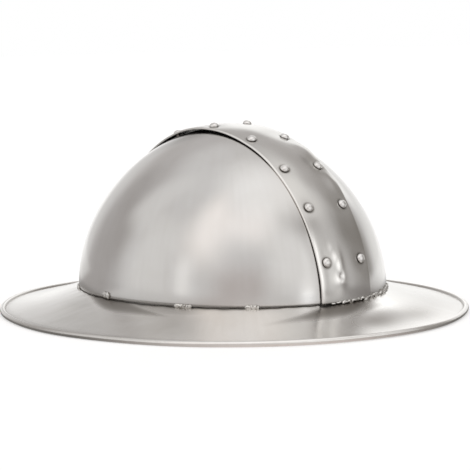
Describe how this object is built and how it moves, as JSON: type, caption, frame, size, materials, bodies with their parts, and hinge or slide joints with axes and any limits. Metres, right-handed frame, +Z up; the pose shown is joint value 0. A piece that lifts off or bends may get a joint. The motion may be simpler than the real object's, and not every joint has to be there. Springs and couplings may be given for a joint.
{
  "type": "spangen kettle hat helmet",
  "caption": "Steel kettle hat: domed skull plates under a riveted spangen band that runs front to back, on a wide flared brim with a rolled edge, open below for the head.",
  "frame": {"origin": "middle of the rolled edge's oval, on the surface that the hat stands on", "axes": "+Z up through the crown, -Y towards the front, -X the wearer's right"},
  "size_m": [0.3116, 0.3456, 0.1315],
  "materials": {
    "skull_steel": "satin polished sheet steel with faint grinding marks and smudges",
    "band_steel": "satin polished sheet steel with small dents and worn edges",
    "brim_steel": "satin polished sheet steel, dull and heat tinted beside the weld tacks",
    "rivet_steel": "bright domed rivet heads"
  },
  "bodies": {
    "root": {"skull_plate_right": "skull_steel", "skull_plate_left": "skull_steel", "spangen_band": "band_steel", "brim": "brim_steel", "rivet_right_1": "rivet_steel", "rivet_right_2": "rivet_steel", "rivet_right_3": "rivet_steel", "rivet_right_4": "rivet_steel", "rivet_right_5": "rivet_steel", "rivet_right_6": "rivet_steel", "rivet_right_7": "rivet_steel", "rivet_right_8": "rivet_steel", "rivet_right_9": "rivet_steel", "rivet_left_1": "rivet_steel", "rivet_left_2": "rivet_steel", "rivet_left_3": "rivet_steel", "rivet_left_4": "rivet_steel", "rivet_left_5": "rivet_steel", "rivet_left_6": "rivet_steel", "rivet_left_7": "rivet_steel", "rivet_left_8": "rivet_steel", "rivet_left_9": "rivet_steel"}
  },
  "joints": []
}
